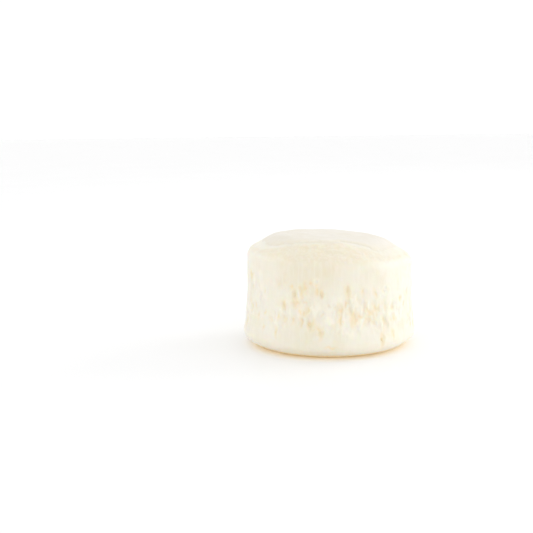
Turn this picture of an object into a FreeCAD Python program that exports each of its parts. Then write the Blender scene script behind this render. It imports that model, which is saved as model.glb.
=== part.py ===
import FreeCAD, Part
import math
import os

import Sketcher
from FreeCAD import Placement, Rotation, Vector

# A hand-poured shaving soap puck. Millimetres, +Z up, origin at the middle of the flat base.
# The soap is a round block with an undercut, flared foot, a sloping shoulder and a nearly level top.
# A thin pale crust lies on the top, and curds and honey-coloured flecks sit in pockets in the side.

SIZES = {
    # Block: it stands on a smaller flat base, swells to the foot, then leans in to a straight wall.
    # foot_radius is the corner before rounding; the rounded foot is 33.0 at its widest.
    "base_radius": 27.7,
    "base_round": 8.0,
    "foot_radius": 33.354,
    "foot_round": 4.0,
    "foot_height": 3.8,
    "flare_height": 16.0,
    "flare_round": 40.0,
    "wall_radius": 31.4,
    "blank_height": 50.0,
    # Top: a cone from shoulder_radius up to the plateau, then a shallow crown. trim_start is below
    # the base, so that the tilted trim never touches it.
    "trim_start": -6.0,
    "shoulder_radius": 36.0,
    "shoulder_height": 32.9,
    "plateau_radius": 20.6,
    "plateau_height": 41.4,
    "plateau_round": 15.0,
    "crown_height": 41.9,
    "top_tilt": 2.9,
    "rim_round": 3.5,
    # Crust: a skin of even thickness that stops short of the rim.
    "crust_thickness": 0.7,
    "crust_radius": 27.6,
    # Pale curds and honey flecks: length up the wall, width across it, depth below the outer face.
    "curd_length": 4.0,
    "curd_width": 2.2,
    "curd_depth": 1.6,
    "fleck_length": 3.8,
    "fleck_width": 1.6,
    "fleck_depth": 1.4,
}

# Lumps in the front: angle round the puck in degrees, height, share of the full length, lean.
FRONT_CURDS = (
    (-143, 28, 0.8, 10),
    (-109, 18, 0.8, -15),
    (-98, 28, 0.7, 0),
    (-88, 20, 1.4, -25),
    (-81, 14, 0.8, 0),
    (-70, 18, 1.0, 0),
    (-50, 25, 0.8, 10),
)
FRONT_FLECKS = (
    (-121, 19, 0.7, 0),
    (-113, 23, 1.0, 0),
    (-103, 13, 0.9, 15),
    (-95, 24, 0.7, 0),
    (-95, 10, 0.6, -10),
    (-78, 25, 1.3, 0),
    (-75, 15, 1.3, 0),
    (-62, 17, 1.1, -60),
    (-54, 7, 1.0, 0),
)

# Lumps round the rest of the side: how many, and the values that they take in turn.
SIDE_START = -30
SIDE_END = 210
SIDE_CURDS = 8
SIDE_CURD_HEIGHTS = (16, 24, 13, 21)
SIDE_FLECKS = 9
SIDE_FLECK_HEIGHTS = (10, 20, 27)
SIDE_SHARES = (1.1, 0.8, 1.3, 0.9, 1.0)
SIDE_LEANS = (0, 15, -20, 5, -10, 20, -5)
SIDE_SHIFTS = (0, -4, 3)

# How far a curd or fleck stands out of the wall, as a share of its depth, and the height above and
# below the top of the flare over which the wall's lean eases off.
PROUD = 0.2
LEAN_EASE = 2.0

# Front edge of the crust, as shares of the wall radius: where it has come away from the shoulder.
CRUST_FRONT = (
    (-0.76, -0.44),
    (-0.60, -0.55),
    (-0.40, -0.60),
    (-0.15, -0.65),
    (0.05, -0.63),
    (0.15, -0.55),
    (0.25, -0.60),
    (0.50, -0.60),
    (0.69, -0.55),
)

NODES = ("soap_body", "top_crust", "pale_curds", "honey_flecks")


def make_sheet(doc):
    sheet = doc.addObject("Spreadsheet::Sheet", "Sizes")
    for row, (name, value) in enumerate(SIZES.items(), start=1):
        sheet.set(f"A{row}", name)
        sheet.set(f"B{row}", str(value))
        sheet.setAlias(f"B{row}", name)
    doc.recompute()
    return sheet


def origin_plane(body, role):
    return next(f for f in body.Origin.OriginFeatures if f.Role == role)


def add_outline(sketch, sheet, corners):
    """Closed outline through corners, each a pair of lists of sheet names that are added up."""
    points = [Vector(*(sum(sheet.get(n) for n in names) for names in pair)) for pair in corners]
    count = len(points)
    for i, point in enumerate(points):
        sketch.addGeometry(Part.LineSegment(point, points[(i + 1) % count]), False)
    for i in range(count):
        sketch.addConstraint(Sketcher.Constraint("Coincident", i, 2, (i + 1) % count, 1))
    for i, (across, up) in enumerate(corners):
        for kind, names, place in (
            ("DistanceX", across, points[i].x),
            ("DistanceY", up, points[i].y),
        ):
            index = sketch.addConstraint(Sketcher.Constraint(kind, -1, 1, i, 1, place))
            if names:
                total = " + ".join(f"Sizes.{name}" for name in names)
                sketch.setExpression(f"Constraints[{index}]", total)


def revolve_body(doc, sheet, name, corners):
    """Body turned about Z from an outline in the XZ plane."""
    body = doc.addObject("PartDesign::Body", name)
    sketch = body.newObject("Sketcher::SketchObject", name + "_outline")
    sketch.AttachmentSupport = [(origin_plane(body, "XZ_Plane"), "")]
    sketch.MapMode = "FlatFace"
    doc.recompute()
    add_outline(sketch, sheet, corners)
    doc.recompute()
    turn = body.newObject("PartDesign::Revolution", name + "_turn")
    turn.Profile = sketch
    turn.ReferenceAxis = (sketch, ["V_Axis"])
    turn.Angle = 360.0
    body.Tip = turn
    doc.recompute()
    return body


def ring_edges(shape, radius, height):
    """Names of the circular edges about Z with this radius at this height."""
    names = []
    for number, edge in enumerate(shape.Edges, start=1):
        curve = edge.Curve
        if not isinstance(curve, Part.Circle):
            continue
        if abs(curve.Radius - radius) < 1e-4 and abs(curve.Center.z - height) < 1e-4:
            names.append(f"Edge{number}")
    return names


def round_ring(doc, body, name, radius, height, size):
    """Fillet the ring at a radius and height; size is the sheet name of the fillet radius."""
    base = body.Tip
    fillet = body.newObject("PartDesign::Fillet", name)
    fillet.Base = (base, ring_edges(base.Shape, radius, height))
    fillet.setExpression("Radius", f"Sizes.{size}")
    body.Tip = fillet
    doc.recompute()


def make_wall(doc, sheet):
    """Straight-sided blank with its undercut, flared foot, taller than the finished puck."""
    corners = (
        ([], []),
        (["base_radius"], []),
        (["foot_radius"], ["foot_height"]),
        (["wall_radius"], ["flare_height"]),
        (["wall_radius"], ["blank_height"]),
        ([], ["blank_height"]),
    )
    wall = revolve_body(doc, sheet, "wall_blank", corners)
    round_ring(doc, wall, "flare_top", sheet.wall_radius, sheet.flare_height, "flare_round")
    round_ring(doc, wall, "foot_edge", sheet.foot_radius, sheet.foot_height, "foot_round")
    round_ring(doc, wall, "base_edge", sheet.base_radius, 0.0, "base_round")
    return wall


def lean(sheet):
    """Slight tip of the top about its own middle, so that it slopes down towards +X."""
    middle = Vector(0, 0, sheet.plateau_height)
    return Placement(Vector(0, 0, 0), Rotation(Vector(0, 1, 0), sheet.top_tilt), middle)


def make_top(doc, sheet):
    """Cone and crown that trim the blank: everything under the sloping top."""
    corners = (
        ([], ["trim_start"]),
        (["shoulder_radius"], ["trim_start"]),
        (["shoulder_radius"], ["shoulder_height"]),
        (["plateau_radius"], ["plateau_height"]),
        ([], ["crown_height"]),
    )
    top = revolve_body(doc, sheet, "top_blank", corners)
    round_ring(doc, top, "top_edge", sheet.plateau_radius, sheet.plateau_height, "plateau_round")
    top.Placement = lean(sheet)
    return top


def make_block(doc, sheet, wall, top):
    """The poured block: the blank under the tilted top, with its rim rounded."""
    block = doc.addObject("Part::Common", "block")
    block.Base = wall
    block.Tool = top
    doc.recompute()
    rim = []
    for number, edge in enumerate(block.Shape.Edges, start=1):
        box = edge.BoundBox
        as_wide_as_wall = abs(box.XLength - 2 * sheet.wall_radius) < 0.01
        if as_wide_as_wall and box.ZMin > sheet.flare_height + sheet.rim_round:
            rim.append((number, sheet.rim_round, sheet.rim_round))
    rounded = doc.addObject("Part::Fillet", "rounded_block")
    rounded.Base = block
    rounded.Edges = rim
    doc.recompute()
    return rounded


def wall_radius_at(sheet, height):
    """Radius of the side at a height above the foot: straight flare, then cylinder."""
    rise = (height - sheet.foot_height) / (sheet.flare_height - sheet.foot_height)
    share = min(max(rise, 0.0), 1.0)
    return sheet.foot_radius + share * (sheet.wall_radius - sheet.foot_radius)


def side_lumps(count, heights, first):
    """Rows for count lumps round the sides and back, first and then one step apart."""
    step = (SIDE_END - SIDE_START) / count
    rows = []
    for i in range(count):
        height, share, slant, shift = (
            values[i % len(values)] for values in (heights, SIDE_SHARES, SIDE_LEANS, SIDE_SHIFTS)
        )
        rows.append((SIDE_START + (i + first) * step + shift, height, share, slant))
    return rows


def wall_lean_at(sheet, height):
    """Lean of the side at a height, in degrees: the flare's own, easing to upright at its top."""
    rise = sheet.flare_height - sheet.foot_height
    flare = math.degrees(math.atan2(sheet.foot_radius - sheet.wall_radius, rise))
    share = (sheet.flare_height + LEAN_EASE - height) / (2 * LEAN_EASE)
    return flare * min(max(share, 0.0), 1.0)


def make_inclusions(doc, sheet, name, kind, rows):
    """Group of lumps seated in the side, one half ellipsoid for each row.

    The flat face looks outward and lies along the wall, just outside it, so that each pocket in
    the block is one open bowl.
    """
    lumps = []
    proud = PROUD * sheet.get(kind + "_depth")
    for number, (angle, height, share, slant) in enumerate(rows, start=1):
        lump = doc.addObject("Part::Ellipsoid", f"{kind}_{number:02d}")
        lump.setExpression("Radius1", f"Sizes.{kind}_length * {share / 2}")
        lump.setExpression("Radius2", f"Sizes.{kind}_width / 2")
        lump.setExpression("Radius3", f"Sizes.{kind}_depth")
        lump.Angle3 = 180.0
        reach = wall_radius_at(sheet, height) + proud
        turn = math.radians(angle)
        base = Vector(reach * math.cos(turn), reach * math.sin(turn), height)
        facing = Rotation(Vector(0, 0, 1), angle)
        leaning = Rotation(Vector(0, 1, 0), -wall_lean_at(sheet, height))
        slanted = Rotation(Vector(1, 0, 0), slant)
        bowl_inward = Rotation(Vector(0, 0, 1), 90)
        lump.Placement = Placement(base, facing * leaning * slanted * bowl_inward)
        lumps.append(lump)
    group = doc.addObject("Part::Compound", name)
    group.Links = lumps
    doc.recompute()
    return group


def make_soap_body(doc, block, groups):
    """The block with a pocket for each curd and fleck."""
    for group in groups[:-1]:
        pocketed = doc.addObject("Part::Cut", "block_less_" + group.Name)
        pocketed.Base = block
        pocketed.Tool = group
        block = pocketed
    soap = doc.addObject("Part::Cut", "soap_body")
    soap.Base = block
    soap.Tool = groups[-1]
    doc.recompute()
    return soap


def crust_plan(doc, sheet):
    """Upright prism on the crust's plan, from above the foot: round back, ragged front."""
    front = [Vector(x * sheet.wall_radius, y * sheet.wall_radius, 0) for x, y in CRUST_FRONT]
    reach = sheet.crust_radius
    for end in (0, -1):
        front[end] = front[end] * (reach / front[end].Length)
    ragged = Part.BSplineCurve()
    ragged.interpolate(front)
    back = Part.Arc(front[-1], Vector(0, reach, 0), front[0])
    outline = Part.Wire([ragged.toShape(), back.toShape()])
    prism = doc.addObject("Part::Feature", "crust_prism")
    prism.Shape = Part.Face(outline).extrude(Vector(0, 0, sheet.blank_height))
    prism.Placement = Placement(Vector(0, 0, sheet.flare_height), Rotation())
    return prism


def make_crust(doc, sheet):
    """Skin of even thickness lying on the soap, inside the crust's plan."""
    corners = (
        ([], ["crown_height"]),
        (["plateau_radius"], ["plateau_height"]),
        (["shoulder_radius"], ["shoulder_height"]),
        (["shoulder_radius"], ["shoulder_height", "crust_thickness"]),
        (["plateau_radius"], ["plateau_height", "crust_thickness"]),
        ([], ["crown_height", "crust_thickness"]),
    )
    skin = revolve_body(doc, sheet, "skin_blank", corners)
    outside = sheet.plateau_height + sheet.crust_thickness
    round_ring(doc, skin, "skin_inside", sheet.plateau_radius, sheet.plateau_height, "plateau_round")
    round_ring(doc, skin, "skin_outside", sheet.plateau_radius, outside, "plateau_round")
    skin.Placement = lean(sheet)
    crust = doc.addObject("Part::Common", "top_crust")
    crust.Base = skin
    crust.Tool = crust_plan(doc, sheet)
    doc.recompute()
    return crust


def check(doc):
    for item in doc.Objects:
        if "Invalid" in item.State or "Error" in item.State:
            raise RuntimeError(f"{item.Label} failed: {item.State}")
    for name in NODES:
        shape = doc.getObject(name).Shape
        if shape.isNull() or not shape.isValid() or not shape.Solids:
            raise RuntimeError(f"{name} is not a valid solid")


def main():
    doc = FreeCAD.newDocument("shaving_soap_puck")
    sheet = make_sheet(doc)
    wall = make_wall(doc, sheet)
    block = make_block(doc, sheet, wall, make_top(doc, sheet))
    curd_rows = [*FRONT_CURDS, *side_lumps(SIDE_CURDS, SIDE_CURD_HEIGHTS, 0.3)]
    fleck_rows = [*FRONT_FLECKS, *side_lumps(SIDE_FLECKS, SIDE_FLECK_HEIGHTS, 0.6)]
    curds = make_inclusions(doc, sheet, "pale_curds", "curd", curd_rows)
    flecks = make_inclusions(doc, sheet, "honey_flecks", "fleck", fleck_rows)
    make_soap_body(doc, block, (curds, flecks))
    make_crust(doc, sheet)
    doc.recompute()
    check(doc)
    os.makedirs("parts", exist_ok=True)
    for name in NODES:
        shape = doc.getObject(name).Shape
        print(name, len(shape.Solids), round(shape.Volume, 1), shape.BoundBox)
        shape.exportStep(f"parts/{name}.step")


main()
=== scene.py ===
import math
import random

import bmesh
import bpy
import numpy as np
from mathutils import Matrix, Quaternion, Vector, noise


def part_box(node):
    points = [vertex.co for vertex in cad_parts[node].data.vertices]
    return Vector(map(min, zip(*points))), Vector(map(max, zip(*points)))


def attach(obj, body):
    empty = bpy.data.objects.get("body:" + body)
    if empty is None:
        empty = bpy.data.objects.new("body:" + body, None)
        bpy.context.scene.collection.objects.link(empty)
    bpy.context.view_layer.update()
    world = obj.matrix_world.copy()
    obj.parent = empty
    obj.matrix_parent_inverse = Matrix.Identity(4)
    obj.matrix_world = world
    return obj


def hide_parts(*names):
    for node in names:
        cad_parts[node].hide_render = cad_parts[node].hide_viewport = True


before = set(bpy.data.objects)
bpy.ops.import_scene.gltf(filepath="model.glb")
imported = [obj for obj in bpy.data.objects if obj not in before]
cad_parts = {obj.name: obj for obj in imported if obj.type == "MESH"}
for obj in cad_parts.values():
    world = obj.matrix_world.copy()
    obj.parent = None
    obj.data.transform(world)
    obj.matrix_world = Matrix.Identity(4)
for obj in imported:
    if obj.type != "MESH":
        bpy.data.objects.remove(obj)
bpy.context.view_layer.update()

MM = 0.001

# ---------------------------------------------------------------- the puck's outline
# Metres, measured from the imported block. The puck stands on a smaller flat base, swells to the
# foot, leans in to the wall and ends in a cone up to a plateau with a shallow crown, tipped to +X.
FOOT_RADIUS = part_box("soap_body")[1][0]
BASE_RADIUS = FOOT_RADIUS - 5.3 * MM
FOOT_CORNER = FOOT_RADIUS + 0.3 * MM
FOOT_HEIGHT = 3.8 * MM
WALL_RADIUS = FOOT_RADIUS - 1.4 * MM
FLARE_HEIGHT = 16.0 * MM
RIM_HEIGHT = 35.4 * MM
PLATEAU_RADIUS = 20.6 * MM
PLATEAU_HEIGHT = 41.4 * MM
CROWN_HEIGHT = 41.9 * MM
TOP_SLOPE = math.tan(math.radians(2.9))
WALL_SHIFT = 0.1 * MM
# How far in from its corner the flat of the base ends, and the crown of the plateau starts.
BASE_INSET = 4 * MM
CROWN_INSET = 5 * MM
CROWN_POWER = 1.4
# How much of each straight run the curve at a corner replaces.
BASE_CUT = 3.0 * MM
FOOT_CUT = 2.5 * MM
FLARE_CUT = 5.5 * MM
RIM_CUT = 2.4 * MM
PLATEAU_CUT = 3.9 * MM
CURVE_STEPS = 8
# The top's slope starts at this share of the flare's height.
SLOPE_START = 0.4

COLUMNS = 560
BOTTOM_ROWS = 7
SIDE_ROWS = 132
TOP_ROWS = 20
TOP_MARGIN = 4 * MM

# The crust reaches the same share of the wall's radius all round, except at its ragged front edge,
# whose points are shares of that radius along X and Y. The edge at each bearing is the mean over
# EDGE_BLUR degrees to each side.
CRUST_REACH = 0.88
CRUST_FRONT = ((-0.76, -0.44), (-0.60, -0.55), (-0.40, -0.60), (-0.15, -0.65), (0.05, -0.63),
               (0.15, -0.55), (0.25, -0.60), (0.50, -0.60), (0.69, -0.55))
EDGE_BLUR = 3
CRUST_THICKNESS = 0.35 * MM
CRUST_TUCK = 0.12 * MM
CRUST_DEPTH = 0.45 * MM
CRUST_COLUMNS = 480
CRUST_RINGS = 86
# The crust's rings are wider in the middle and closer together at its edge.
CRUST_RING_POWER = 1.25
CRUST_FEATHER = 6 * MM
# Width of the crust's rounded edge: narrow in front, wide over the rest. The front is centred on
# a bearing, and the change runs between two distances from it (degrees).
NARROW_EDGE = 2.0 * MM
WIDE_EDGE = 7.0 * MM
EDGE_CENTRE = 265
EDGE_CHANGE = (44, 62)

# Pits torn in the front: bearing (degrees), height, half width and half length (mm), and lean
# (degrees).
FRONT_PITS = (
    (-121, 20, 0.7, 1.0, 0), (-115, 26, 0.6, 1.0, 0), (-114, 14, 0.7, 1.4, 0),
    (-112, 20, 1.8, 1.5, 30), (-108, 14, 0.8, 1.4, 0), (-106, 26, 0.8, 2.0, 12),
    (-104, 18, 0.7, 1.5, 0), (-101, 13, 0.9, 1.8, 10), (-98, 27, 0.8, 1.0, 0),
    (-95, 10, 0.7, 1.9, 15), (-89, 5, 2.0, 0.5, 0), (-83, 19, 1.0, 1.6, 0),
    (-78, 25, 0.9, 2.3, -8), (-75, 17, 1.3, 0.7, 0), (-73, 15, 1.0, 2.5, 5),
    (-69, 16, 0.9, 0.7, 0), (-68, 25, 0.6, 1.5, 0), (-63, 17, 0.8, 2.4, -55),
    (-59, 19, 0.7, 1.4, -30), (-59, 24, 0.7, 1.7, -12), (-54, 6, 0.8, 2.0, 0),
)
# A pit is this share of its smaller half size deep, counted up to a limit (mm).
PIT_STEEPNESS = 0.75
PIT_SIZE_LIMIT = 1.5
# More pits at random all round: mean and spread of their height and its limits (mm), and the share
# of them that is kept from the front, which has its own (a span in degrees).
EXTRA_PITS = 66
PIT_SEED = 11
PIT_HEIGHT = (17.5, 5.2)
PIT_LIMITS = (7, 29)
FRONT_SPAN = (-128, -50)
FRONT_SKIPPED = 0.35
# Their half width (mm), their length and depth as multiples of it, and the spread of their lean.
PIT_HALF_WIDTHS = (0.3, 0.7)
PIT_STRETCH = (1.2, 3.2)
PIT_DEPTHS = (0.4, 0.9)
PIT_LEAN = 14
# A pit's shape, as spans of the distance from its middle in half sizes: the bowl's wall, the halo
# of painted warm glow round it, and the middle and width of the lip, which is pushed up where the
# bowl is shallower than LIP_FROM of its depth.
PIT_BOWL = (0.35, 1.15)
PIT_HALO = (0.8, 2.5)
PIT_LIP = (1.35, 0.3)
LIP_FROM = 0.1
LIP_HEIGHT = 0.10 * MM
# The share of its depth that a pit is cut to, and how strongly its bowl and halo take the painted
# glow, a warm colour standing in for light scattered in the soap.
PIT_CUT = 0.45
BOWL_GLOW = 0.85
HALO_GLOW = 0.5
# Nothing further from a pit's or lump's middle than this belongs to it.
NEARBY = 6 * MM

# Fields of noise: size of a bump, height, octaves, stretch along Z, and place in the noise. Where
# the height is 1 the field is a share of something else.
SWELL = (16 * MM, 0.32 * MM, 2, 0.8, 1.0)
DENTS = (4.5 * MM, 0.14 * MM, 2, 0.8, 12.0)
DRAGS = (1.0 * MM, 1, 2, 9.0, 5.0)
CRUMBS = (2.5 * MM, 1, 3, 1.8, 9.0)
CLOUDS = (9 * MM, 1, 3, 1.2, 71.0)
TOP_WAVES = (8 * MM, 0.22 * MM, 2, 1.0, 51.0)
CRUST_GRAIN = (1.8 * MM, 0.03 * MM, 2, 1.0, 61.0)
RAGGED_EDGE = (2.6 * MM, 0.9 * MM, 3, 1.0, 31.0)
PIT_SWAY_ACROSS = (1.3 * MM, 0.75 * MM, 2, 1.4, 3.1)
PIT_SWAY_UP = (1.6 * MM, 1.0 * MM, 2, 1.4, 7.7)
BELT_SWAY = (9 * MM, 3.0 * MM, 2, 1.0, 21.0)
BELT_GAPS = (14 * MM, 1, 2, 0.8, 40.0)

# The torn belt: heights over which it sets in and ends going up the side, and the values of
# BELT_GAPS over which it fills in.
BELT_START = (7 * MM, 11 * MM)
BELT_END = (24 * MM, 30 * MM)
BELT_FILL = (-0.45, 0.25)
# What tearing leaves: drag lines, stronger on the belt, ridges, and valleys that start a little
# below the mean. The bare top is rough by a share of that, and its waves fade out at the middle.
DRAG_HEIGHT = 0.035 * MM
BELT_DRAG_HEIGHT = 0.10 * MM
RIDGE_HEIGHT = 0.42 * MM
VALLEY_DEPTH = 0.75 * MM
VALLEY_START = 0.08
TOP_ROUGHNESS = 0.35
WAVE_FADE = 4 * MM
# Heights over which the relief sets in above the floor, the wall ends at the rim and the painted
# warm glow at the foot fades, and distances past the crust over which the top is laid bare.
FLOOR_FADE = (0.4 * MM, 3 * MM)
RIM_FADE = (RIM_HEIGHT - 1 * MM, RIM_HEIGHT + 1.5 * MM)
FOOT_GLOW_FADE = (0.4 * MM, 2.6 * MM)
BARE_START = 0.2 * MM
BARE_FULL = 2 * MM
# Which crumbs turn pale, which hollows take the painted warm glow, and which clouds are warm.
PALE_CRUMBS = (0.10, 0.5)
GLOWING_HOLLOWS = (0.12, 0.6)
WARM_CLOUDS = (0.0, 0.7)
# How strongly each of these colours the soap. The glow in hollows and round flecks is painted
# glow, and the front patch and the bare top's warmth are painted shade.
CURD_STAIN = 0.8
FLECK_GLOW = 0.7
HOLLOW_GLOW = 0.6
FRONT_SHADE_WEIGHT = 0.55
CLOUD_WARMTH = 0.5
# Painted shade on the bare, upward-facing top round the crust.
BARE_TOP_SHADE = 0.6
# Painted shade, a warmer and darker patch high on the front: its bearing and height, and how far it
# reaches each way.
FRONT_SHADE_BEARING = (-103, 34)
FRONT_SHADE_HEIGHT = (32 * MM, 9 * MM)

# Shallow seats that the curds and flecks lie in: how deep, how rough, and between which distances
# from the middle they run out, in half lengths of the lump. A curd's stain and a fleck's painted
# glow reach further than a seat.
SEAT_DEPTHS = (("pale_curds", 0.06 * MM), ("honey_flecks", 0.30 * MM))
SEAT_ROUGHNESS = 0.30 * MM
SEAT_FLAT = 0.9
SEAT_REACH = 1.6
CURD_STAIN_REACH = 2.2
FLECK_GLOW_REACH = 2.4

# Curds and flecks: how uneven they are, and how far they are pressed in.
CURD_UNEVENNESS = 0.45
CURD_SINK = 0.25 * MM
FLECK_UNEVENNESS = 0.40
FLECK_SINK = 0.45 * MM
WELD_DISTANCE = 0.001 * MM
LUMP_SUBDIVISIONS = 4
# Two layers of noise over a lump: bumps per radius, step in the noise from lump to lump, weight.
LUMP_WAVE = (1.3, (3.7, 0, 0), 1.0)
LUMP_GRAIN = (3.6, (0, 2.3, 0), 0.4)


# ---------------------------------------------------------------- small numeric helpers
def smooth(low, high, value):
    """0 below low, 1 above high, and a smooth step between them."""
    t = np.clip((value - low) / (high - low), 0.0, 1.0)
    return t * t * (3 - 2 * t)


def field(points, scale, height, octaves, stretch, offset):
    """Perlin noise at each point, height times its value, with bumps scale apart."""
    shift = Vector((offset, offset * 1.7, offset * 0.6))
    squeeze = Vector((1 / scale, 1 / scale, 1 / (scale * stretch)))
    values = np.empty(len(points))
    for i, p in enumerate(points):
        q = Vector((p[0] * squeeze.x, p[1] * squeeze.y, p[2] * squeeze.z)) + shift
        total, size = 0.0, 1.0
        for _ in range(octaves):
            total += size * noise.noise(q)
            q = q * 2.03
            size *= 0.5
        values[i] = total
    return values * height


def rounded(corners):
    """Polyline through corners (r, z, cut), each corner turned by a curve that starts cut away."""
    line = [Vector(corners[0][:2])]
    for before, here, after in zip(corners, corners[1:], corners[2:]):
        at = Vector(here[:2])
        start = at + (Vector(before[:2]) - at).normalized() * here[2]
        end = at + (Vector(after[:2]) - at).normalized() * here[2]
        for step in range(CURVE_STEPS + 1):
            t = step / CURVE_STEPS
            line.append(start * (1 - t) ** 2 + at * (2 * t * (1 - t)) + end * t * t)
    line.append(Vector(corners[-1][:2]))
    return np.array([tuple(p) for p in line])


def resample(line, count):
    """count points evenly spaced along a polyline, both ends included."""
    steps = np.hypot(*np.diff(line, axis=0).T)
    along = np.concatenate([[0], np.cumsum(steps)])
    marks = np.linspace(0, along[-1], count)
    return np.stack([np.interp(marks, along, line[:, k]) for k in (0, 1)], axis=1)


def outline_rows():
    """Rows (r, z) of the untilted outline, from the middle of the base to the middle of the top."""
    base_edge = (BASE_RADIUS - BASE_INSET, 0.0)
    bottom = np.array([(0.0, 0.0), base_edge])
    inner = PLATEAU_RADIUS - CROWN_INSET
    crown_rise = CROWN_HEIGHT - PLATEAU_HEIGHT
    inner_height = PLATEAU_HEIGHT + crown_rise * CROWN_INSET / PLATEAU_RADIUS
    side = rounded((
        (*base_edge, 0),
        (BASE_RADIUS, 0.0, BASE_CUT),
        (FOOT_CORNER, FOOT_HEIGHT, FOOT_CUT),
        (WALL_RADIUS, FLARE_HEIGHT, FLARE_CUT),
        (WALL_RADIUS, RIM_HEIGHT, RIM_CUT),
        (PLATEAU_RADIUS, PLATEAU_HEIGHT, PLATEAU_CUT),
        (inner, inner_height, 0),
    ))
    shares = np.linspace(1, 0, TOP_ROWS)
    drop = CROWN_HEIGHT - inner_height
    top = np.stack([inner * shares, CROWN_HEIGHT - drop * shares ** CROWN_POWER], axis=1)
    rows = [resample(bottom, BOTTOM_ROWS)[:-1], resample(side, SIDE_ROWS), top[1:]]
    return np.concatenate(rows)


def tipped(points):
    """Leans the top over, full above the rim and nothing at the foot, and slides the wall to +X."""
    share = smooth(FLARE_HEIGHT * SLOPE_START, RIM_HEIGHT, points[:, 2])
    tilted = points.copy()
    tilted[:, 2] -= share * TOP_SLOPE * points[:, 0]
    tilted[:, 0] += smooth(FOOT_HEIGHT, FLARE_HEIGHT, points[:, 2]) * WALL_SHIFT
    return tilted


# ---------------------------------------------------------------- places of curds and flecks
def lumps_of(node):
    """Centre, axes (as rows, longest first) and half lengths of each separate lump in a node."""
    mesh = bmesh.new()
    mesh.from_mesh(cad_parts[node].data)
    bmesh.ops.remove_doubles(mesh, verts=mesh.verts, dist=WELD_DISTANCE)
    left = set(mesh.verts)
    found = []
    while left:
        stack = [min(left, key=lambda v: v.index)]
        left.discard(stack[0])
        island = []
        while stack:
            vert = stack.pop()
            island.append(tuple(vert.co))
            for edge in vert.link_edges:
                other = edge.other_vert(vert)
                if other in left:
                    left.discard(other)
                    stack.append(other)
        points = np.array(island)
        middle = points.mean(0)
        axes = np.linalg.svd(points - middle, full_matrices=False)[2]
        along = (points - middle) @ axes.T
        low, high = along.min(0), along.max(0)
        found.append((middle + (low + high) / 2 @ axes, axes, (high - low) / 2))
    mesh.free()
    return sorted(found, key=lambda lump: tuple(np.round(lump[0], 6)))


# ---------------------------------------------------------------- the torn side
def pit_list():
    """Every pit: bearing, height, half width, half length, depth and lean, in degrees and mm."""
    pits = []
    for angle, height, wide, tall, lean in FRONT_PITS:
        deep = PIT_STEEPNESS * min(wide, tall, PIT_SIZE_LIMIT)
        pits.append((angle, height, wide, tall, deep, lean))
    rng = random.Random(PIT_SEED)
    while len(pits) < len(FRONT_PITS) + EXTRA_PITS:
        angle = rng.uniform(-180, 180)
        height = rng.gauss(*PIT_HEIGHT)
        in_front = FRONT_SPAN[0] < angle < FRONT_SPAN[1]
        in_limits = PIT_LIMITS[0] < height < PIT_LIMITS[1]
        if not in_limits or (in_front and rng.random() < FRONT_SKIPPED):
            continue
        wide = rng.uniform(*PIT_HALF_WIDTHS)
        tall = wide * rng.uniform(*PIT_STRETCH)
        deep = wide * rng.uniform(*PIT_DEPTHS)
        pits.append((angle, height, wide, tall, deep, rng.gauss(0, PIT_LEAN)))
    return pits


def pit_field(points):
    """Depth of the pits at each point, and how strongly a pit's painted glow colours it (0 to 1).
    """
    angle = np.arctan2(points[:, 1], points[:, 0])
    sway_across = field(points, *PIT_SWAY_ACROSS)
    sway_up = field(points, *PIT_SWAY_UP)
    depth = np.zeros(len(points))
    recess_glow = np.zeros(len(points))
    for degrees, height, wide, tall, deep, lean in pit_list():
        turn = (angle - math.radians(degrees) + math.pi) % (2 * math.pi) - math.pi
        across = turn * WALL_RADIUS
        up = points[:, 2] - height * MM
        near = (np.abs(across) < NEARBY) & (np.abs(up) < NEARBY)
        u = across[near] + sway_across[near]
        w = up[near] + sway_up[near]
        cos, sin = math.cos(math.radians(lean)), math.sin(math.radians(lean))
        far = np.hypot((u * cos - w * sin) / (wide * MM), (u * sin + w * cos) / (tall * MM))
        bowl = 1 - smooth(*PIT_BOWL, far)
        lip = np.exp(-((far - PIT_LIP[0]) / PIT_LIP[1]) ** 2) * (bowl < LIP_FROM)
        depth[near] = np.maximum(depth[near], deep * MM * bowl) - LIP_HEIGHT * lip
        # Painted glow: the bowl and a halo round it are coloured warm, standing in for light
        # scattered in the soap.
        halo = 1 - smooth(*PIT_HALO, far)
        pit_glow = np.maximum(BOWL_GLOW * bowl, HALO_GLOW * halo)
        recess_glow[near] = np.maximum(recess_glow[near], pit_glow)
    return depth, recess_glow


def torn_belt(points):
    """How rough the side is at each point: a band round the middle, ragged at both edges."""
    height = points[:, 2] + field(points, *BELT_SWAY)
    belt = smooth(*BELT_START, height) * (1 - smooth(*BELT_END, height))
    return belt * smooth(*BELT_FILL, field(points, *BELT_GAPS))


def top_waves(points):
    """Slow waves left in the top by pouring, the same for the soap and the crust on it."""
    flat = points * np.array([1, 1, 0])
    fade = smooth(0.0, WAVE_FADE, np.hypot(points[:, 0], points[:, 1]))
    return field(flat, *TOP_WAVES) * fade


def seats(points, node, reach):
    """How far each point lies in the shallow seat of one of a node's lumps (0 to 1)."""
    held = np.zeros(len(points))
    for centre, axes, halves in lumps_of(node):
        near = np.linalg.norm(points - centre, axis=1) < NEARBY
        far = np.linalg.norm((points[near] - centre) @ axes.T / halves, axis=1)
        held[near] = np.maximum(held[near], 1 - smooth(SEAT_FLAT, reach, far))
    return held


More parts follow.
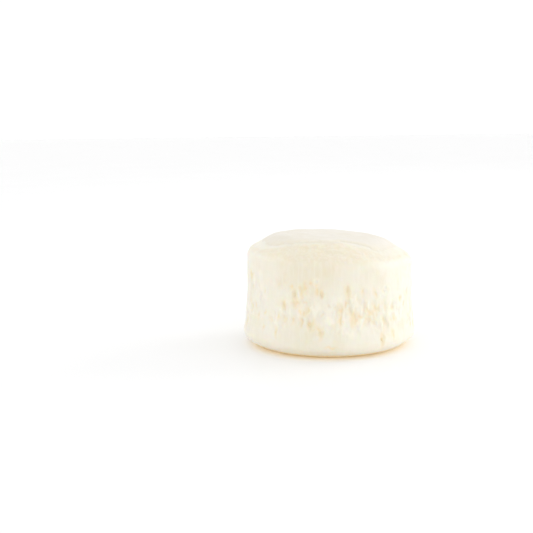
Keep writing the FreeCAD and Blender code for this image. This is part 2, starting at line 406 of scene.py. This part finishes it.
def soap_relief(points):
    """Outward displacement of the soap, and its colour masks, painted glow and shade among them."""
    height = points[:, 2]
    radius = np.hypot(points[:, 0], points[:, 1])
    bearing = np.degrees(np.arctan2(points[:, 1], points[:, 0]))
    side = smooth(*FLOOR_FADE, height)
    wall = 1 - smooth(*RIM_FADE, height)
    belt = torn_belt(points) * wall
    edge = crust_edge(bearing)
    bare_top = (1 - wall) * smooth(edge + BARE_START, edge + BARE_FULL, radius)
    swell = field(points, *SWELL)
    dents = field(points, *DENTS)
    drags = field(points, *DRAGS) * (DRAG_HEIGHT + BELT_DRAG_HEIGHT * belt)
    crumbs = field(points, *CRUMBS)
    ridges = np.clip(crumbs, 0, 1) * RIDGE_HEIGHT
    valleys = np.clip(-crumbs - VALLEY_START, 0, 1) * VALLEY_DEPTH
    rough = np.maximum(belt, TOP_ROUGHNESS * bare_top)
    depth, recess_glow = pit_field(points)
    out = wall * (swell + dents) + (1 - wall) * top_waves(points)
    out = side * (out + drags * wall + (ridges - valleys) * rough) - PIT_CUT * depth
    for node, seat_depth in SEAT_DEPTHS:
        floor = SEAT_ROUGHNESS * crumbs - seat_depth
        out += seats(points, node, SEAT_REACH) * (floor - out)
    near_fleck = seats(points, "honey_flecks", FLECK_GLOW_REACH)
    near_curd = seats(points, "pale_curds", CURD_STAIN_REACH)
    # Painted glow round each fleck.
    recess_glow = np.maximum(recess_glow, FLECK_GLOW * near_fleck)
    pale = smooth(*PALE_CRUMBS, crumbs) * rough * (1 - recess_glow)
    pale = np.maximum(pale, CURD_STAIN * near_curd)
    # Painted glow in the hollows between crumbs, on top of the glow in pits and round flecks.
    painted_glow = np.maximum(recess_glow, HOLLOW_GLOW * smooth(*GLOWING_HOLLOWS, -crumbs) * rough)
    # Painted glow along the foot: a warm band standing in for light coming through the soap at the
    # floor.
    painted_glow = np.maximum(painted_glow, 1 - smooth(*FOOT_GLOW_FADE, height))
    # Painted shade: a warmer, darker patch high on the front.
    aside = (bearing - FRONT_SHADE_BEARING[0]) / FRONT_SHADE_BEARING[1]
    above = (height - FRONT_SHADE_HEIGHT[0]) / FRONT_SHADE_HEIGHT[1]
    front_shade = np.exp(-aside ** 2 - above ** 2)
    cloud = smooth(*WARM_CLOUDS, field(points, *CLOUDS))
    # Warm tone from the clouds, and painted shade from the front patch and the bare top.
    tan_and_shade = FRONT_SHADE_WEIGHT * front_shade + CLOUD_WARMTH * cloud + BARE_TOP_SHADE * bare_top
    tan_and_shade = np.clip(tan_and_shade, 0, 1)
    return out, painted_glow, pale, tan_and_shade


# ---------------------------------------------------------------- meshes
def new_object(name, vertices, faces, masks=()):
    """Smooth-shaded mesh object in the scene; masks are named values, one for each vertex."""
    mesh = bpy.data.meshes.new(name)
    mesh.from_pydata([tuple(v) for v in vertices], [], faces)
    for label, values in masks:
        layer = mesh.attributes.new(label, "FLOAT", "POINT")
        layer.data.foreach_set("value", np.asarray(values, dtype=np.float32))
    mesh.validate()
    mesh.polygons.foreach_set("use_smooth", [True] * len(mesh.polygons))
    obj = bpy.data.objects.new(name, mesh)
    bpy.context.scene.collection.objects.link(obj)
    return obj


def ring_faces(rows, columns, first=0):
    """Quads that join closed rings of vertices, the first ring starting at vertex first."""
    faces = []
    for row in range(rows - 1):
        here, above = first + row * columns, first + (row + 1) * columns
        for i in range(columns):
            j = (i + 1) % columns
            faces.append((here + i, here + j, above + j, above + i))
    return faces


def build_soap():
    """The block: its outline turned about Z, displaced by the relief and tipped."""
    outline = outline_rows()
    rings = outline[1:-1]
    slopes = np.gradient(rings, axis=0)
    normals = np.stack([slopes[:, 1], -slopes[:, 0]], axis=1)
    normals /= np.linalg.norm(normals, axis=1)[:, None]
    turns = np.arange(COLUMNS) / COLUMNS * 2 * math.pi
    cos, sin = np.cos(turns), np.sin(turns)
    points = np.stack([
        np.outer(rings[:, 0], cos), np.outer(rings[:, 0], sin),
        np.repeat(rings[:, 1:], COLUMNS, axis=1),
    ], axis=2).reshape(-1, 3)
    outward = np.stack([
        np.outer(normals[:, 0], cos), np.outer(normals[:, 0], sin),
        np.repeat(normals[:, 1:], COLUMNS, axis=1),
    ], axis=2).reshape(-1, 3)
    relief, painted_glow, pale, tan_and_shade = soap_relief(points)
    points = tipped(points + outward * relief[:, None])
    points[:, 2] = np.maximum(points[:, 2], 0.0)
    count = len(points)
    ends = np.array([(0, 0, 0), (0, 0, outline[-1, 1])])
    vertices = np.concatenate([points, ends])
    faces = ring_faces(len(rings), COLUMNS)
    last = count - COLUMNS
    for i in range(COLUMNS):
        j = (i + 1) % COLUMNS
        faces.append((j, i, count))
        faces.append((last + i, last + j, count + 1))
    pad = [0.0, 0.0]
    masks = [(name, np.append(values, pad)) for name, values in
             (("painted_glow", painted_glow), ("curd", pale), ("tan_and_shade", tan_and_shade))]
    return new_object("puck_soap", vertices, faces, masks)


def crust_edge(degrees):
    """Radius of the crust's edge at each bearing, averaged over a few degrees either way."""
    x, y = np.array(CRUST_FRONT).T
    front = np.degrees(np.arctan2(y, x))
    start = front[0]
    bearings = np.concatenate([front, [start + 360]])
    shares = np.minimum(np.hypot(x, y), CRUST_REACH)
    shares[[0, -1]] = CRUST_REACH
    shares = np.concatenate([shares, [CRUST_REACH]])
    turns = range(-EDGE_BLUR, EDGE_BLUR + 1)
    total = 0
    for turn in turns:
        wrapped = (degrees + turn - start) % 360 + start
        total = total + np.interp(wrapped, bearings, shares)
    return total / len(turns) * WALL_RADIUS


def top_height(radius):
    """Height of the untilted top at a radius, read off the outline from just under the rim up."""
    outline = outline_rows()
    top = outline[outline[:, 1] > RIM_HEIGHT - TOP_MARGIN]
    order = np.argsort(top[:, 0])
    return np.interp(radius, top[order, 0], top[order, 1])


def build_crust():
    """The crust: rings on the untilted top, rounded off at the edge, with an underside."""
    columns, rings = CRUST_COLUMNS, CRUST_RINGS
    degrees = np.arange(columns) / columns * 360 - 180
    turns = np.radians(degrees)
    edge = crust_edge(degrees)
    rim_points = np.stack([edge * np.cos(turns), edge * np.sin(turns), edge * 0], axis=1)
    edge = edge + field(rim_points, *RAGGED_EDGE)
    shares = (np.arange(rings) + 1) / rings
    shares = 1 - (1 - shares) ** CRUST_RING_POWER
    radius = np.outer(shares, edge)
    x, y = radius * np.cos(turns), radius * np.sin(turns)
    inset = edge[None, :] - radius
    flat = np.stack([x, y, np.zeros_like(x)], axis=2).reshape(-1, 3)
    bearing = (degrees + 360) % 360
    wider = smooth(*EDGE_CHANGE, np.abs(bearing - EDGE_CENTRE))
    round_in = NARROW_EDGE + (WIDE_EDGE - NARROW_EDGE) * wider
    rounding = smooth(0.0, 1.0, inset / round_in)
    waves = top_waves(flat) + field(flat, *CRUST_GRAIN)
    base = top_height(radius) + waves.reshape(x.shape)
    lift = (CRUST_THICKNESS + CRUST_TUCK) * rounding - CRUST_TUCK
    above = np.stack([x, y, base + lift], axis=2).reshape(-1, 3)
    below = np.stack([x, y, base - CRUST_DEPTH], axis=2).reshape(-1, 3)
    middle = top_height(0.0)
    poles = [(0, 0, middle + CRUST_THICKNESS), (0, 0, middle - CRUST_DEPTH)]
    vertices = np.concatenate([above, below, poles])
    vertices = tipped(vertices)
    half = rings * columns
    faces = ring_faces(rings, columns)
    faces = [tuple(reversed(f)) for f in faces]
    faces += ring_faces(rings, columns, half)
    outer = (rings - 1) * columns
    for i in range(columns):
        j = (i + 1) % columns
        faces.append((outer + j, outer + i, half + outer + i, half + outer + j))
        faces.append((j, 2 * half, i))
        faces.append((half + i, 2 * half + 1, half + j))
    feather = 1 - smooth(0.0, CRUST_FEATHER, inset).reshape(-1)
    edge_mask = np.append(np.tile(feather, 2), [0, 0])
    return new_object("puck_crust", vertices, faces, (("edge", edge_mask),))


def build_lumps(name, node, unevenness, sink):
    """One uneven blob for each lump of a node, pressed into the side by sink."""
    vertices, faces = [], []
    for number, (centre, axes, halves) in enumerate(lumps_of(node)):
        ball = bmesh.new()
        bmesh.ops.create_icosphere(ball, subdivisions=LUMP_SUBDIVISIONS, radius=1.0)
        ball.verts.ensure_lookup_table()
        inward = Vector((-centre[0], -centre[1], 0)).normalized()
        start = len(vertices)
        for vert in ball.verts:
            bumps = 0.0
            for scale, step, weight in (LUMP_WAVE, LUMP_GRAIN):
                shift = Vector([number * part for part in step])
                bumps += weight * noise.noise(vert.co * scale + shift)
            swell = 1 + unevenness * bumps
            spot = Vector(centre)
            for axis, half, share in zip(axes, halves, vert.co):
                spot += Vector(axis) * (half * share * swell)
            vertices.append(spot + inward * sink)
        for face in ball.faces:
            faces.append(tuple(start + v.index for v in face.verts))
        ball.free()
    points = tipped(np.array([tuple(v) for v in vertices]))
    obj = new_object(name, points, faces)
    mesh = bmesh.new()
    mesh.from_mesh(obj.data)
    bmesh.ops.recalc_face_normals(mesh, faces=mesh.faces)
    mesh.to_mesh(obj.data)
    mesh.free()
    return obj


# ---------------------------------------------------------------- materials
class Nodes:
    """Short hand for building one node material."""

    def __init__(self, name):
        self.material = bpy.data.materials.new(name)
        self.material.use_nodes = True
        self.tree = self.material.node_tree
        self.tree.nodes.clear()
        self.output = self.tree.nodes.new("ShaderNodeOutputMaterial")
        self.shader = self.tree.nodes.new("ShaderNodeBsdfPrincipled")
        self.link(self.shader.outputs[0], self.output.inputs["Surface"])

    def link(self, source, target):
        self.tree.links.new(source, target)

    def add(self, kind, **values):
        node = self.tree.nodes.new("ShaderNode" + kind)
        for key, value in values.items():
            setattr(node, key, value)
        return node

    def noise(self, scale, detail=3.0, stretch=1.0, roughness=0.55):
        """Noise of bumps 1/scale apart, in metres, stretched along Z."""
        place = self.add("TexCoord")
        squeeze = self.add("Mapping")
        squeeze.inputs["Scale"].default_value = (1, 1, 1 / stretch)
        self.link(place.outputs["Object"], squeeze.inputs["Vector"])
        node = self.add("TexNoise")
        node.inputs["Scale"].default_value = scale
        node.inputs["Detail"].default_value = detail
        node.inputs["Roughness"].default_value = roughness
        self.link(squeeze.outputs[0], node.inputs["Vector"])
        return node.outputs["Fac"]

    def from_axis(self):
        """Distance from the object's own origin, in metres."""
        length = self.add("VectorMath", operation="LENGTH")
        self.link(self.add("TexCoord").outputs["Object"], length.inputs[0])
        return length.outputs["Value"]

    def mask(self, name):
        return self.add("Attribute", attribute_name=name).outputs["Fac"]

    def ramp(self, value, low, high, to_low=0.0, to_high=1.0):
        node = self.add("MapRange", interpolation_type="SMOOTHSTEP")
        self.link(value, node.inputs["Value"])
        limits = (low, high, to_low, to_high)
        for key, number in zip(("From Min", "From Max", "To Min", "To Max"), limits):
            node.inputs[key].default_value = number
        return node.outputs["Result"]

    def mix(self, factor, first, second):
        """Colour mix; first and second are sockets or colours."""
        node = self.add("Mix", data_type="RGBA")
        self.link(factor, node.inputs["Factor"])
        for key, value in (("A", first), ("B", second)):
            socket = next(s for s in node.inputs if s.name == key and s.type == "RGBA")
            if isinstance(value, bpy.types.NodeSocket):
                self.link(value, socket)
            else:
                socket.default_value = (*value, 1)
        return next(s for s in node.outputs if s.type == "RGBA")

    def math(self, operation, first, second):
        node = self.add("Math", operation=operation)
        for socket, value in zip(node.inputs, (first, second)):
            if isinstance(value, bpy.types.NodeSocket):
                self.link(value, socket)
            else:
                socket.default_value = value
        return node.outputs[0]

    def bump(self, height, distance, strength=1.0, under=None):
        node = self.add("Bump")
        node.inputs["Distance"].default_value = distance
        node.inputs["Strength"].default_value = strength
        self.link(height, node.inputs["Height"])
        if under is not None:
            self.link(under, node.inputs["Normal"])
        return node.outputs["Normal"]

    def finish(self, colour, roughness, normal, **constants):
        self.link(colour, self.shader.inputs["Base Color"])
        self.link(roughness, self.shader.inputs["Roughness"])
        self.link(normal, self.shader.inputs["Normal"])
        for key, value in constants.items():
            self.shader.inputs[key.replace("_", " ")].default_value = value
        return self.material


# Base colours, linear. Two that are mixed by a slow noise, then what stains them, and the painted
# shade and glow laid over them.
SOAP = ((0.845, 0.800, 0.670), (0.865, 0.828, 0.720))
# Tan of the warm clouds, also used as painted shade on the front patch and the bare top.
SOAP_TAN_AND_SHADE = (0.815, 0.740, 0.570)
SOAP_STREAK = (0.885, 0.845, 0.74)
SOAP_CURDLED = (0.915, 0.875, 0.76)
# Painted glow: warm colour in pits, round flecks, in hollows and at the foot, standing in for light
# scattered in the soap.
SOAP_PAINTED_GLOW = (0.90, 0.73, 0.43)
CRUST = ((0.810, 0.764, 0.665), (0.828, 0.787, 0.708))
CRUST_EDGE = (0.830, 0.772, 0.640)
CRUST_BLOOM = (0.84, 0.805, 0.735)
CURD = ((0.875, 0.825, 0.685), (0.90, 0.86, 0.75))
FLECK = ((0.84, 0.70, 0.44), (0.86, 0.75, 0.53))
FLOOR = ((0.955, 0.955, 0.955), (0.965, 0.965, 0.965))
FLOOR_GLOW = (0.50, 0.35, 0.17)
NO_GLOW = (0.0, 0.0, 0.0)

# How far red, green and blue light spread in the soap, and the scale of it in metres.
SCATTER = (1.0, 0.72, 0.42)
SCATTER_SCALE = 1.4 * MM


def soap_material():
    n = Nodes("cream_soap")
    cloud = n.ramp(n.noise(70, 3), 0.35, 0.65)
    colour = n.mix(cloud, *SOAP)
    # Tan clouds, with painted shade on the front patch and the bare top.
    colour = n.mix(n.ramp(n.mask("tan_and_shade"), 0.0, 1.0, 0, 0.8), colour, SOAP_TAN_AND_SHADE)
    streaks = n.ramp(n.noise(900, 3, 10), 0.42, 0.62)
    colour = n.mix(n.math("MULTIPLY", streaks, 0.35), colour, SOAP_STREAK)
    colour = n.mix(n.ramp(n.mask("curd"), 0.0, 1.0, 0, 0.75), colour, SOAP_CURDLED)
    # Painted glow in pits, round flecks, in hollows and at the foot.
    colour = n.mix(n.ramp(n.mask("painted_glow"), 0.1, 1.0, 0, 0.65), colour, SOAP_PAINTED_GLOW)
    roughness = n.ramp(n.noise(260, 3), 0.3, 0.7, 0.38, 0.52)
    normal = n.bump(n.noise(420, 3), 0.35 * MM, 0.5)
    normal = n.bump(n.noise(1500, 3, 7), 0.12 * MM, 0.55, normal)
    normal = n.bump(n.noise(5200, 2), 0.04 * MM, 0.6, normal)
    return n.finish(colour, roughness, normal, Subsurface_Weight=0.6, Subsurface_Radius=SCATTER,
                    Subsurface_Scale=SCATTER_SCALE, Specular_IOR_Level=0.45, Coat_Weight=0.08,
                    Coat_Roughness=0.3)


def crust_material():
    n = Nodes("soap_crust")
    cloud = n.ramp(n.noise(110, 4), 0.35, 0.65)
    colour = n.mix(cloud, *CRUST)
    colour = n.mix(n.ramp(n.mask("edge"), 0.0, 1.0), colour, CRUST_EDGE)
    bloom = n.ramp(n.noise(650, 4), 0.5, 0.68)
    colour = n.mix(n.math("MULTIPLY", bloom, 0.5), colour, CRUST_BLOOM)
    roughness = n.ramp(n.noise(300, 3), 0.3, 0.7, 0.45, 0.62)
    normal = n.bump(n.noise(380, 3), 0.4 * MM, 0.5)
    normal = n.bump(n.noise(2600, 3), 0.06 * MM, 0.6, normal)
    return n.finish(colour, roughness, normal, Specular_IOR_Level=0.45)


def curd_material():
    n = Nodes("pale_curd")
    colour = n.mix(n.ramp(n.noise(900, 3), 0.35, 0.65), *CURD)
    roughness = n.ramp(n.noise(700, 2), 0.3, 0.7, 0.5, 0.65)
    normal = n.bump(n.noise(2200, 3, 3), 0.15 * MM, 0.6)
    return n.finish(colour, roughness, normal, Specular_IOR_Level=0.4)


def fleck_material():
    n = Nodes("honey_fleck")
    colour = n.mix(n.ramp(n.noise(800, 3), 0.35, 0.65), *FLECK)
    roughness = n.ramp(n.noise(700, 2), 0.3, 0.7, 0.4, 0.55)
    normal = n.bump(n.noise(2000, 3, 3), 0.15 * MM, 0.6)
    return n.finish(colour, roughness, normal, Specular_IOR_Level=0.45)


def floor_material():
    """White, with a weak warm glow where the puck stands, as light through the soap gives."""
    n = Nodes("white_floor")
    colour = n.mix(n.ramp(n.noise(8, 2), 0.3, 0.7), *FLOOR)
    roughness = n.ramp(n.noise(20, 2), 0.3, 0.7, 0.5, 0.6)
    normal = n.bump(n.noise(300, 2), 0.1 * MM, 0.1)
    under = n.ramp(n.from_axis(), 27 * MM, 35 * MM, 1.0, 0.0)
    glow = n.mix(under, NO_GLOW, FLOOR_GLOW)
    # Painted glow: the floor emits warm light where the puck stands.
    n.link(glow, n.shader.inputs["Emission Color"])
    return n.finish(colour, roughness, normal, Specular_IOR_Level=0.3, Emission_Strength=0.35)


# ---------------------------------------------------------------- floor, light and camera
# The floor reaches this far each way, in metres.
FLOOR_REACH = 6.0
WORLD_STRENGTH = 1.02
LIGHT_AIM = 15 * MM
# Name, place, size, power and colour of each soft light.
LIGHTS = (
    ("key", (0.90, 0.50, 0.36), 0.7, 2.4, (1.0, 0.99, 0.97)),
    ("fill", (-1.00, -0.25, 0.07), 0.4, 0.6, (1.0, 0.98, 0.95)),
    ("side", (1.00, -0.30, 0.14), 0.5, 1.4, (0.88, 0.94, 1.0)),
)


def add_floor():
    far = FLOOR_REACH
    corners = [(-far, -far, 0), (far, -far, 0), (far, far, 0), (-far, far, 0)]
    floor = new_object("floor", corners, [(0, 1, 2, 3)])
    floor.data.materials.append(floor_material())


def add_light(name, place, size, power, colour):
    lamp = bpy.data.lights.new(name, "AREA")
    lamp.shape = "DISK"
    lamp.size = size
    lamp.energy = power
    lamp.color = colour
    obj = bpy.data.objects.new(name, lamp)
    bpy.context.scene.collection.objects.link(obj)
    obj.location = place
    aim = Vector((0, 0, LIGHT_AIM)) - Vector(place)
    obj.rotation_euler = aim.to_track_quat("-Z", "Y").to_euler()


def add_world():
    world = bpy.data.worlds.new("studio")
    world.use_nodes = True
    back = world.node_tree.nodes["Background"]
    back.inputs["Color"].default_value = (1.0, 1.0, 1.0, 1)
    back.inputs["Strength"].default_value = WORLD_STRENGTH
    bpy.context.scene.world = world


CAMERA_DISTANCE = 11.0 * FOOT_RADIUS
CAMERA_ELEVATION = 11.0
LENS = 62.77
AIM_HEIGHT = 0.45 * FOOT_RADIUS
# Where the puck's middle stands in the frame, as shares of its width from the middle.
FRAME_RIGHT = 0.117
FRAME_DOWN = 0.0692


def add_camera():
    """Camera in front of the puck, turned so that the puck stands off the middle of the frame."""
    data = bpy.data.cameras.new("camera")
    data.lens = LENS
    data.clip_start = 10 * MM
    camera = bpy.data.objects.new("camera", data)
    bpy.context.scene.collection.objects.link(camera)
    rise = math.radians(CAMERA_ELEVATION)
    aim = Vector((0, 0, AIM_HEIGHT))
    back = Vector((0, -math.cos(rise), math.sin(rise)))
    camera.location = aim + back * CAMERA_DISTANCE
    straight = (-back).to_track_quat("-Z", "Y")
    wide = data.sensor_width / LENS
    turn_left = Quaternion((0, 1, 0), math.atan(FRAME_RIGHT * wide))
    turn_up = Quaternion((1, 0, 0), math.atan(FRAME_DOWN * wide))
    camera.rotation_mode = "QUATERNION"
    camera.rotation_quaternion = straight @ turn_left @ turn_up
    bpy.context.scene.camera = camera


# ---------------------------------------------------------------- putting it together
def stand_in(piece, node, material):
    """Hand a finished piece to the frame, standing for its node."""
    piece.data.materials.clear()
    piece.data.materials.append(material)
    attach(piece, "root")
    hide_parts(node)


stand_in(build_soap(), "soap_body", soap_material())
stand_in(build_crust(), "top_crust", crust_material())
curds = build_lumps("puck_curds", "pale_curds", CURD_UNEVENNESS, CURD_SINK)
stand_in(curds, "pale_curds", curd_material())
flecks = build_lumps("puck_flecks", "honey_flecks", FLECK_UNEVENNESS, FLECK_SINK)
stand_in(flecks, "honey_flecks", fleck_material())

add_floor()
add_world()
for light in LIGHTS:
    add_light(*light)
bpy.context.scene.view_settings.view_transform = "Standard"
add_camera()
